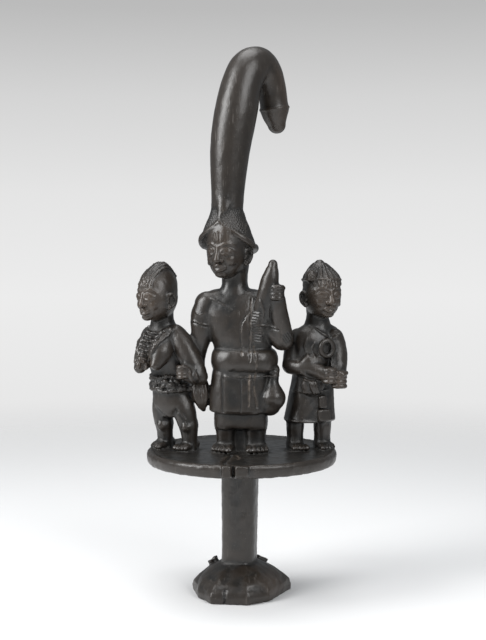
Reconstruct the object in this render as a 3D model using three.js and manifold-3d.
// A dance staff carved from one block of dark hardwood: a flared foot, a round grip, a disc platform
// with three standing figures, and the tall middle figure's coiffure drawn up into a hooked shaft.
// Millimetres, +Z up, the origin at the middle of the foot's underside. The figures face -Y.
import * as THREE from "three";
import { mergeVertices } from "three/addons/utils/BufferGeometryUtils.js";
import Module from "manifold-3d";

const wasm = await Module();
wasm.setup();

// Driving dimensions.
const FOOT_RADIUS = 47.5;
const FOOT_RIM = 10;
const FOOT_TOP = 32;
const GRIP_RADIUS = 16.8;
const GRIP_X = -1.6;
const DISC_RADIUS = 90;
const DISC_BOTTOM = 127.5;
const DISC_TOP = 140;
const DISH_DEPTH = 1.6;
const DISH_RADIUS = 82;
const DEG = Math.PI / 180;
// The turn of each figure's front towards the viewer's left, seen from above.
const MIDDLE_HEAD_TURN = 26;
const MIDDLE_BODY_TURN = 8;
const LEFT_TURN = 42;
const RIGHT_TURN = -24;
// The hook of the coiffure leans back to the viewer's right at this angle from the X axis.
const HOOK_PLANE = 44;

const WOOD = { color: 0x241c1a, roughness: 0.36, metalness: 0 };

// Turns a closed three.js geometry into a solid.
function solid(geometry) {
  const bare = geometry.clone();
  bare.deleteAttribute("normal");
  bare.deleteAttribute("uv");
  const merged = mergeVertices(bare, 1e-3);
  return new wasm.Manifold(new wasm.Mesh({
    numProp: 3,
    vertProperties: new Float32Array(merged.attributes.position.array),
    triVerts: new Uint32Array(merged.index.array),
  }));
}

// Joins a list of solids pair by pair.
function union(list) {
  let level = list.slice();
  while (level.length > 1) {
    const next = [];
    for (let i = 0; i < level.length; i += 2) {
      next.push(i + 1 < level.length ? level[i].add(level[i + 1]) : level[i]);
    }
    level = next;
  }
  return level[0];
}

// Smooth value at t (0 to 1) through equally spaced rows of numbers.
function along(rows, t) {
  const last = rows.length - 1;
  const s = Math.min(Math.max(t, 0), 1) * last;
  const i = Math.min(Math.floor(s), last - 1);
  const f = s - i;
  const p = [rows[Math.max(i - 1, 0)], rows[i], rows[i + 1], rows[Math.min(i + 2, last)]];
  return rows[i].map((_, k) => {
    const [a, b, c, d] = p.map((row) => row[k]);
    return b + 0.5 * f * (c - a + f * (2 * a - 5 * b + 4 * c - d + f * (3 * (b - c) + d - a)));
  });
}

// A closed skin: point(angle, t) goes once round for each t from the first ring to the last.
function skin(around, rings, point) {
  const geometry = new THREE.CylinderGeometry(1, 1, 1, around, rings);
  const position = geometry.attributes.position;
  const middle = (t) => {
    const sum = [0, 0, 0];
    for (let k = 0; k < around; k += 1) {
      point((2 * Math.PI * k) / around, t).forEach((value, axis) => {
        sum[axis] += value / around;
      });
    }
    return sum;
  };
  const ends = [middle(0), middle(1)];
  for (let i = 0; i < position.count; i += 1) {
    const x = position.getX(i);
    const z = position.getZ(i);
    const t = 0.5 - position.getY(i);
    const onAxis = Math.hypot(x, z) < 1e-6;
    const place = onAxis ? ends[t < 0.5 ? 0 : 1] : point(Math.atan2(-z, x), t);
    position.setXYZ(i, ...place);
  }
  return solid(geometry);
}

// The radius factor of a superellipse: power 2 is round, higher is squarer.
function squarer(angle, power) {
  const c = Math.abs(Math.cos(angle)) ** power;
  const s = Math.abs(Math.sin(angle)) ** power;
  return (c + s) ** (-1 / power);
}

// An upright form from the top down. Rows: [z, centre x, centre y, half width, half depth].
function tower(rows, around, rings, turn = 0, power = 2) {
  const c = Math.cos(-turn * DEG);
  const s = Math.sin(-turn * DEG);
  return skin(around, rings, (angle, t) => {
    const [z, cx, cy, rx, ry] = along(rows, t);
    const k = squarer(angle, power);
    const x = rx * Math.cos(angle) * k;
    const y = ry * Math.sin(angle) * k;
    return [cx + x * c - y * s, cy + x * s + y * c, z];
  });
}

// A limb along a path with rounded ends. Rows: [x, y, z, radius across, radius along side].
function limb(rows, around = 7, rings = 3, side = [0, 1, 0]) {
  const full = rows.map((row) => (row.length > 4 ? row : [...row, row[3]]));
  const tangentAt = (t) => {
    const a = along(full, Math.max(t - 0.02, 0));
    const b = along(full, Math.min(t + 0.02, 1));
    return new THREE.Vector3(b[0] - a[0], b[1] - a[1], b[2] - a[2]).normalize();
  };
  const capRings = 1;
  const total = rings + 2 * capRings;
  return skin(around, total, (angle, t) => {
    const ring = Math.round(t * total);
    const u = Math.min(Math.max((ring - capRings) / rings, 0), 1);
    const beyond = ring < capRings ? capRings - ring : Math.max(ring - capRings - rings, 0);
    const lean = (beyond / (capRings + 0.35)) * 90 * DEG;
    const [x, y, z, ra, rb] = along(full, u);
    const tangent = tangentAt(u);
    const reference = new THREE.Vector3(...side);
    const b = reference.addScaledVector(tangent, -reference.dot(tangent)).normalize();
    const a = new THREE.Vector3().crossVectors(b, tangent);
    const reach = Math.min(ra, rb) * Math.sin(lean) * (u < 0.5 ? -1 : 1);
    return new THREE.Vector3(x, y, z)
      .addScaledVector(a, -ra * Math.cos(lean) * Math.cos(angle))
      .addScaledVector(b, rb * Math.cos(lean) * Math.sin(angle))
      .addScaledVector(tangent, reach)
      .toArray();
  });
}

// Places a geometry: tipped about X, turned about Z towards the viewer's left, then moved.
function placed(geometry, [x, y, z], turn = 0, tip = 0, roll = 0) {
  geometry.rotateY(roll * DEG);
  geometry.rotateX(tip * DEG);
  geometry.rotateZ(-turn * DEG);
  geometry.translate(x, y, z);
  return solid(geometry);
}

function ball(centre, [rx, ry, rz], turn = 0, tip = 0, roll = 0, around = 7, rings = 4) {
  const geometry = new THREE.SphereGeometry(1, around, rings);
  geometry.rotateX(Math.PI / 2);
  geometry.scale(rx, ry, rz);
  return placed(geometry, centre, turn, tip, roll);
}

// A small rounded lump.
function bead(centre, size, turn = 0) {
  return ball(centre, size, turn, 0, 0, 6, 3);
}

function block(centre, [sx, sy, sz], turn = 0, tip = 0, roll = 0) {
  return placed(new THREE.BoxGeometry(sx, sy, sz), centre, turn, tip, roll);
}

// A point of a figure: across (to its left), ahead (its front) and up, from a place with a turn.
function from([x, y, z], turn) {
  const c = Math.cos(-turn * DEG);
  const s = Math.sin(-turn * DEG);
  return (across, ahead, up) => [x + across * c + ahead * s, y + across * s - ahead * c, z + up];
}

// A plain carved head: skull, face, brows, eyes, nose, lips and ears, all from its half sizes.
function head(place, turn, wide, deep, high, tip = 0) {
  const at = from(place, turn);
  const list = [
    ball(place, [wide, deep, high], turn, tip, 0, 10, 7),
    ball(at(0, deep * 0.22, -high * 0.42), [wide * 0.74, deep * 0.72, high * 0.58], turn, tip, 0, 8, 4),
    bead(at(0, deep * 0.64, -high * 0.85), [wide * 0.34, deep * 0.26, high * 0.17], turn),
    limb([
      [...at(0, deep * 0.84, high * 0.04), wide * 0.1],
      [...at(0, deep * 0.95, -high * 0.2), wide * 0.15],
      [...at(0, deep * 0.95, -high * 0.36), wide * 0.23],
    ], 6, 2),
  ];
  [-1, 1].forEach((side) => {
    list.push(bead(at(side * wide * 0.9, -deep * 0.02, -high * 0.22),
      [wide * 0.16, deep * 0.2, high * 0.3], turn + side * 20));
  });
  return list;
}

// A bare foot pointing ahead, with five carved toes.
function foot(place, turn, length, width, rise) {
  const at = from(place, turn);
  const list = [
    limb([
      [...at(0, -length * 0.28, rise * 0.42), width * 0.38, rise * 0.5],
      [...at(0, length * 0.1, rise * 0.38), width * 0.44, rise * 0.44],
      [...at(0, length * 0.42, rise * 0.26), width * 0.47, rise * 0.34],
    ], 7, 2, [0, 0, 1]),
  ];
  return list;
}

// A closed fist with four finger ridges across its front.
function fist(place, turn, size, tip = 0) {
  const at = from(place, turn);
  const list = [ball(place, [size * 0.85, size * 0.8, size], turn, tip)];
  return list;
}

// The foot of the staff: a low dome cut in uneven facets over an upright rim. Each corner of its
// outline is given by its direction in degrees and its distance from the axis.
const FOOT_CORNERS = [
  [-125, 50], [-82, 45.6], [-50, 42], [12, 49.7], [58, 47], [100, 46], [140, 47], [172, 48],
  [205, 45.8],
];

// The outline's point a share of the way round, the corners falling at equal shares.
function footOutline(share) {
  const count = FOOT_CORNERS.length;
  const k = Math.floor(share * count) % count;
  const f = share * count - Math.floor(share * count);
  const corner = (i) => {
    const [degrees, reach] = FOOT_CORNERS[i % count];
    return [reach * Math.cos(degrees * DEG), reach * Math.sin(degrees * DEG)];
  };
  return corner(k).map((value, axis) => value + (corner(k + 1)[axis] - value) * f);
}

function staffFoot() {
  const profile = [
    [GRIP_RADIUS * 0.9, FOOT_TOP + 6], [GRIP_RADIUS, FOOT_TOP], [23, FOOT_TOP - 3], [32, FOOT_TOP - 8],
    [41, FOOT_TOP - 15], [FOOT_RADIUS - 1, FOOT_RIM + 1], [FOOT_RADIUS + 0.5, FOOT_RIM - 4],
    [FOOT_RADIUS - 0.4, 0],
  ];
  const rings = profile.length - 1;
  return skin(2 * FOOT_CORNERS.length, rings, (angle, t) => {
    const [r, z] = profile[Math.round(t * rings)];
    const share = (((angle + Math.PI / 2) / (2 * Math.PI)) % 1 + 1) % 1;
    const [fx, fy] = footOutline(Math.round(share * 36) / 36);
    const fit = FOOT_RADIUS / Math.hypot(fx, fy);
    const round = 1 - Math.min(1, Math.max(0, (t - 0.2) * 2));
    const k = (1 + (fit - 1) * round) / FOOT_RADIUS;
    return [r * k * fx + GRIP_X * (1 - t), r * k * fy, z];
  });
}

// The round grip, a little uneven, from inside the foot to inside the disc.
function grip() {
  return tower([
    [DISC_BOTTOM + 3, -1.4, 0, 19, 19],
    [DISC_BOTTOM - 8, -1.3, 0, GRIP_RADIUS + 0.5, GRIP_RADIUS + 0.5],
    [96, -1.5, 0, GRIP_RADIUS, GRIP_RADIUS],
    [62, -1.8, 0, GRIP_RADIUS - 0.5, GRIP_RADIUS],
    [FOOT_TOP - 6, -2.4, 0, GRIP_RADIUS - 0.6, GRIP_RADIUS],
  ], 14, 3);
}

// The disc: rounded rim, slightly dished top.
function disc() {
  const outline = [
    [DISH_RADIUS, DISC_TOP - DISH_DEPTH],
    [DISC_RADIUS - 3.4, DISC_TOP], [DISC_RADIUS, DISC_TOP - 2.8],
    [DISC_RADIUS - 0.6, DISC_BOTTOM + 3], [DISC_RADIUS - 2.5, DISC_BOTTOM + 0.6],
    [DISC_RADIUS - 6, DISC_BOTTOM],
  ];
  const rings = outline.length - 1;
  return skin(32, rings, (angle, t) => {
    const [r, z] = outline[Math.round(t * rings)];
    const wave = 1 + 0.006 * Math.cos(2 * angle) + 0.004 * Math.cos(3 * angle + 1);
    return [r * wave * Math.cos(angle), r * wave * Math.sin(angle), z];
  });
}

// The two squared blocks left standing on the front of the rim, either side of the split.
function rimBlocks() {
  return [
    block([-13.6, -DISC_RADIUS + 0.6, 134.6], [8.4, 5, 11]),
    block([0.2, -DISC_RADIUS + 0.4, 135.2], [11.6, 4.6, 9.4], 0, 0, 4),
  ];
}

// The coiffure shaft: it rises from the hair cap and hooks over to a rounded, collared end.
function hook() {
  const dx = Math.cos(HOOK_PLANE * DEG);
  const dy = Math.sin(HOOK_PLANE * DEG);
  // Rows: reach along the hook's plane from the shaft, height, radius, sideways drift.
  const rows = [
    [-0.5, 366, 15, -13.2], [0, 384, 15.6, -13], [0, 404, 17.2, -12.2], [0, 424, 18.8, -10.8],
    [0.5, 444, 20, -8.4], [1.6, 463, 20.2, -5.8], [5.4, 483, 19.3, -4.4], [13.5, 500, 18.8, -3.4],
    [26, 506, 17, -3], [37.5, 499, 15.2, -3], [44.6, 484.5, 14, -3], [47.6, 471, 13.6, -3],
    [48.6, 465.5, 14.2, -3], [49.6, 459, 12.2, -3], [51.6, 451.5, 9, -3],
  ];
  const path = rows.map(([reach, z, r, x]) => [x + reach * dx, reach * dy, z, r]);
  return limb(path, 13, 16, [-dy, dx, 0]);
}

// The hair cap: a skirt from the shaft's foot to a brim that peaks in front and falls at the sides.
function hairCap(centre, turn, wide, deep) {
  const top = 372;
  const peak = 355;
  const side = 331;
  const nape = 322;
  const [cx, cy] = centre;
  const front = -90 - turn;
  const brim = (angle) => {
    let away = Math.abs((((angle / DEG - front) % 360) + 540) % 360 - 180);
    away = Math.min(away, 180);
    if (away < 90) {
      return peak + (side - peak) * (away / 90) ** 0.9;
    }
    return side + (nape - side) * ((away - 90) / 90);
  };
  const shell = [[0, 0.52], [0.18, 0.6], [0.45, 0.8], [0.8, 1.0], [0.93, 1.07], [1, 1.02]];
  const rings = shell.length - 1;
  const c = Math.cos(-turn * DEG);
  const s = Math.sin(-turn * DEG);
  return skin(14, rings, (angle, t) => {
    const [down, out] = shell[Math.round(t * rings)];
    const z = top + (brim(angle + -turn * DEG) - top) * down;
    const ahead = Math.max(0, Math.cos(angle + 90 * DEG)) ** 1.6;
    const x = wide * out * Math.cos(angle);
    const y = deep * out * Math.sin(angle) * (1 - 0.26 * ahead * down);
    return [cx + x * c - y * s - 1.2 * (1 - down), cy + x * s + y * c, z];
  });
}

// The tall middle figure: tunic with a rolled belt, right arm hanging, left arm raised with a club.
function middleFigure() {
  const face = [-12.4, -3, 329];
  const list = [
    ...head(face, MIDDLE_HEAD_TURN, 20, 23, 25.5),
    hairCap([-12.4, 1], MIDDLE_HEAD_TURN, 26, 25.5),
    hook(),
    tower([
      [322, -6, 3, 13.5, 13.5], [306, -6.4, 2, 12.4, 12.6], [294, -6.4, 2, 12.6, 12.6],
      [287, -6.6, 2, 17, 14],
    ], 10, 3),
    // Chest, waist and the skirt of the tunic.
    tower([
      [293, -7, 2, 12, 11], [288, -7.4, 2, 27, 14], [281, -7.4, 2, 34, 17], [266, -5, 1.5, 33, 19.5],
      [250, -1, 1, 30, 20], [236, 1.4, 1, 27.5, 19], [222, 2, 1, 26.5, 19],
    ], 14, 6, MIDDLE_BODY_TURN, 2.3),
    tower([
      [226, 1, 1, 26, 19], [212, -1, 0, 27, 20], [196, -2.2, 0, 27.8, 20.6], [180, -2.6, 0, 27.8, 20.8],
      [174, -2.4, 0, 27.4, 20.4],
    ], 14, 3, MIDDLE_BODY_TURN, 2.8),
    // Short trousers below the hem.
    tower([
      [180, -1, 1, 25, 18], [170, -0.6, 1, 25, 18], [166, -0.5, 1, 25, 17.6],
    ], 14, 2, MIDDLE_BODY_TURN, 3),
  ];
  // The thick rolled belt.
  list.push(tower([
    [237, 2, 1, 26, 18.5], [234.5, 2.6, 0.6, 30, 22], [229, 2.8, 0.4, 31.4, 23.2],
    [222, 2.9, 0.3, 31.6, 23.4], [216.5, 2.8, 0.5, 30.4, 22.4], [214, 2.4, 1, 26, 18.5],
  ], 14, 4, MIDDLE_BODY_TURN, 2.5));
  // Legs with cuffed trousers, ankles and feet.
  [[-14.8, 1, 10.4], [13.4, -2, 10.9]].forEach(([x, y, r], k) => {
    list.push(tower([
      [172, x, y, r, 13], [163, x, y, r + 0.3, 13], [159, x, y, r + 0.5, 12.6],
      [158, x, y, r - 0.4, 11.4],
      [150, x, y, r - 1.4, 10.6], [DISC_TOP - 3, x, y, r - 0.6, 11],
    ], 8, 3, MIDDLE_BODY_TURN, 2.4));
    const out = k === 0 ? 16 : -1;
    const shift = k === 0 ? -1 : 1.5;
    list.push(...foot([x + shift, y - 1, DISC_TOP - 1.5], out, 25, 22 + 2 * k, 11));
  });
  // Wood left standing between the ankles, under a small opening between the knees.
  list.push(block([-0.8, 2, 149], [11, 13, 22], MIDDLE_BODY_TURN));
  // Right arm, hanging: sleeve, elbow, wrist and a leaf-shaped open hand.
  list.push(limb([
    [-31, 2, 279, 12.5, 12], [-36.4, 2.5, 266, 12, 11.5], [-37.2, 3, 252, 11, 10.5],
    [-41, 3.5, 238, 8.2, 8.2], [-42.6, 3, 224, 7.2, 7.4], [-41, 2.5, 208, 6.6, 6.6],
  ], 8, 5));
  list.push(limb([
    [-40.5, 2.5, 208, 6.4, 5.4], [-39.4, 2.5, 199, 8.8, 5.2], [-38.6, 2, 190, 9, 4.8],
    [-37.2, 2, 181, 5.2, 3.6], [-36.4, 2, 177.5, 2.6, 2.4],
  ], 8, 4));
  // Left arm: upper arm down to the elbow, forearm back up to the fist with the club.
  list.push(limb([
    [18, -1, 279, 13.5, 12.5], [24, -4, 266, 12.6, 12], [32, -7, 253, 11, 11],
    [38.5, -9, 245, 9.6, 9.6],
  ], 8, 4));
  list.push(limb([
    [39.4, -9.5, 245.5, 9.8, 9.6], [38, -14, 258, 8.6, 9], [35.4, -18, 272, 7.6, 8],
    [34, -20, 284, 7, 7.4],
  ], 8, 4));
  list.push(...fist([33.4, -21.5, 291], 12, 7.6));
  list.push(limb([
    [29.6, -20, 318, 5.2, 5.2], [28.6, -20.5, 310, 6.8, 6.4], [26.4, -20.5, 301, 8.6, 7.6],
    [23, -19.5, 286, 9, 7.4], [19, -17.5, 268, 9, 7], [16, -15.5, 256, 8, 6.4],
  ], 8, 4));
  // Gourd hanging at the left hip, with its knob.
  list.push(limb([
    [34.6, -8, 216, 3.4], [33.8, -9, 207, 4.6], [31, -10, 198, 10], [29.8, -10.5, 191, 12.4],
    [28.4, -10, 185, 9.4],
  ], 8, 4));
  return list;
}

// The woman at the viewer's left: crested head, collar of beads, long breasts, beads at the hips.
function leftFigure() {
  const turn = LEFT_TURN;
  const face = [-80, 6, 286];
  const at = from(face, turn);
  const body = from([-70, 11, 205], turn);
  const list = [
    ...head(face, turn, 17.4, 21, 23.5),
    // Hair drawn up to a rounded peak behind the crown.
    tower([
      [317.6, -77.6, 10.4, 3, 3.6], [314, -77.8, 9.8, 7.4, 8.6], [307, -78.8, 8.6, 12.6, 15.4],
      [299, -79.6, 7.4, 16.2, 19.6], [288, -80, 6.4, 17.4, 20.8],
    ], 10, 4, turn),
    tower([[276, -76, 12, 11.5, 11.5], [264, -76, 12, 11, 11], [252, -75, 12, 14, 12]], 8, 2),
    // Chest, waist, hips and thighs.
    tower([
      [258, -75, 12, 9, 9], [251, -73.6, 12, 20, 12.6], [243, -72.6, 12, 22, 14],
      [228, -71.4, 13, 18.5, 13.5], [213, -70, 14, 16.8, 12.6], [203, -68.6, 14.6, 18.4, 14.4],
      [192, -66.8, 14, 19.6, 16.6],
      [178, -65, 13, 20.6, 16.4], [166, -63.5, 12.6, 20.8, 15],
    ], 11, 6, turn * 0.55, 2.2),
    // Rolled strings of beads round the waist.
    tower([
      [211, -70, 13.6, 15, 12], [208, -69.2, 13.4, 19.6, 16], [202, -68.6, 13.4, 20.6, 17.2],
      [196.6, -67.6, 13.6, 20, 16.8], [194, -67.2, 14, 17, 14],
    ], 11, 4, turn * 0.55, 2.2),
    // Thick collar of bead strings lying over the chest.
    limb([
      [...body(-15, 3, 50), 5.5, 4.5], [...body(-12, 13, 42), 7, 5], [...body(0, 20, 33), 8.5, 5.4],
      [...body(12, 13, 40), 7, 5], [...body(15, 3, 50), 5.5, 4.5],
    ], 6, 6, [0, 0, 1]),
  ];
  // Long breasts, each a hanging teardrop.
  [-1, 1].forEach((side) => {
    list.push(limb([
      [...body(side * 9, 12, 38), 8, 7], [...body(side * 10, 20, 28), 9, 8],
      [...body(side * 10.4, 26, 18), 8.4, 7.4],
      [...body(side * 10.6, 28.5, 12.5), 4.2, 4],
    ], 8, 4));
  });
  // Left arm out to the elbow and back to a fist at the belly; right arm folded behind the breast.
  list.push(limb([
    [-60, 0, 245, 10.4], [-51, -5, 231, 9.6], [-42, -9, 214, 9],
  ], 8, 4));
  list.push(limb([[-40.4, -9.5, 210.5, 8.6], [-46, -13, 212, 7.4], [-52, -15.5, 215, 6]], 8, 2, [0, 0, 1]));
  list.push(...fist([-54.6, -16.5, 216], 35, 6.6));
  list.push(limb([
    [-88, 20, 244, 9.4], [-87, 28, 230, 8.2], [-82, 32, 214, 7.4], [-80, 27, 204, 6.6],
  ], 8, 4));
  // Legs and feet.
  [[-74.6, 17, 8.6], [-50.4, 5, 9]].forEach(([x, y, r]) => {
    list.push(tower([
      [172, x + 0.5, y, r + 1, r + 3], [164, x, y, r, r + 1.6], [154, x, y, r - 0.2, r + 0.6],
      [147, x + 0.6, y, r - 0.6, r], [DISC_TOP - 3, x, y, r, r + 0.6],
    ], 8, 3));
    list.push(...foot([x - 0.5, y - 1, DISC_TOP - 1.5], turn, 21, 15.5, 10));
  });
  return list;
}

// The man at the viewer's right: peaked hair, hands joined in front, a flared knee-length tunic.
function rightFigure() {
  const turn = RIGHT_TURN;
  const face = [76.6, 8, 288];
  const at = from(face, turn);
  const list = [
    ...head(face, turn, 18.4, 20.5, 22.5),
    // Hair rising to a ridged peak, and the lobe over the ear.
    tower([
      [320.6, 74.6, 11, 2.4, 3], [316, 74.8, 11, 6.6, 7], [309, 76, 10.6, 12.8, 13],
      [303, 76.6, 10, 16.8, 17.6],
      [296, 76.6, 9.6, 18, 19],
    ], 10, 4, turn),
    ball(at(-14.5, 6, 17), [5, 6.5, 5.6], turn),
    tower([[278, 73, 12, 11.4, 11.4], [266, 73, 12, 10.8, 10.8], [254, 73, 12, 13.5, 12]], 8, 2),
    // Chest and shoulders.
    tower([
      [259, 73.4, 12, 10, 9], [252, 73, 12, 22, 13], [244, 73, 12, 25, 15.5],
      [228, 71.6, 12, 22.6, 16.4],
      [210, 69.6, 12, 20.2, 16], [200, 68.4, 12, 20.4, 16],
    ], 12, 5, turn, 2.3),
    // Tunic flaring to a straight hem.
    tower([
      [212, 69, 12, 19.4, 15.6], [198, 67.8, 12, 20.6, 16.4], [182, 66.6, 12, 22.4, 18],
      [169.5, 65.8, 12, 24, 19],
      [166, 65.6, 12, 24.2, 19.2],
    ], 12, 3, turn, 2.7),
  ];
  // Left arm with the forearm forward, right arm out to the elbow and across to the joined hands.
  list.push(limb([
    [90, 8, 243, 10], [93, 6, 231, 8.6], [93, 2, 217, 8], [90.6, -5, 210, 7.6],
  ], 8, 4));
  list.push(limb([
    [53.6, 12, 244, 9.6], [48.6, 9, 232, 8.6], [46, 4, 220, 7.6],
  ], 8, 3));
  list.push(limb([
    [46.8, 3, 218.6, 7.4], [57, -4, 215.6, 7], [68, -9, 212.6, 6.6], [78, -11.5, 210, 6.4],
  ], 8, 4, [0, 0, 1]));
  list.push(...fist([84, -10.5, 212], turn, 8));
  list.push(...fist([92.4, -7, 206], turn - 12, 8));
  // Pendant ring on the chest, the tassel below the forearm, two panels and a box on the skirt.
  const ring = new THREE.TorusGeometry(6.6, 2.6, 6, 10);
  ring.rotateX(Math.PI / 2);
  list.push(placed(ring, [81.6, -5.6, 234], turn));
  list.push(limb([[67.6, -5.4, 206, 3.4], [70, -6, 200, 4.4], [72.6, -6.4, 193, 3.4]], 6, 2));
  list.push(block([61.8, -3.6, 183], [4.4, 4, 12.4], turn, -4));
  list.push(block([76.4, -3.4, 183.4], [8, 6, 12.6], turn, -4));
  list.push(block([76.6, -3.6, 171.6], [13, 7, 10.6], turn, -4));
  // Legs and feet.
  [[51.8, 10], [78.2, 14]].forEach(([x, y]) => {
    list.push(tower([
      [172, x, y, 8.8, 10.6], [160, x, y, 8.6, 10], [150, x, y, 8.2, 9.6],
      [DISC_TOP - 3, x, y, 8.8, 10.4],
    ], 8, 3));
    list.push(...foot([x + 0.5, y - 2, DISC_TOP - 1.5], turn, 22, 16.5, 9.5));
  });
  return list;
}

// The old split that runs in from the rim to the middle figure's feet.
function splits() {
  return [
    block([-7.2, -DISC_RADIUS + 1, 134], [2.4, 13, 16]),
    block([-11.5, -62, DISC_TOP], [1.8, 40, 3.4], -16),
  ];
}

const whole = union([
  staffFoot(), grip(), disc(), ...rimBlocks(), ...middleFigure(), ...leftFigure(), ...rightFigure(),
]).subtract(union(splits()));

const result = whole.getMesh();
const geometry = new THREE.BufferGeometry();
const corners = [];
for (let i = 0; i < result.vertProperties.length; i += result.numProp) {
  corners.push(...result.vertProperties.slice(i, i + 3));
}
geometry.setAttribute("position", new THREE.Float32BufferAttribute(corners, 3));
geometry.setIndex([...result.triVerts]);
geometry.computeVertexNormals();

const staff = new THREE.Mesh(geometry, new THREE.MeshStandardMaterial(WOOD));
staff.name = "dance_staff";
const object = new THREE.Group();
object.add(staff);
export default object;
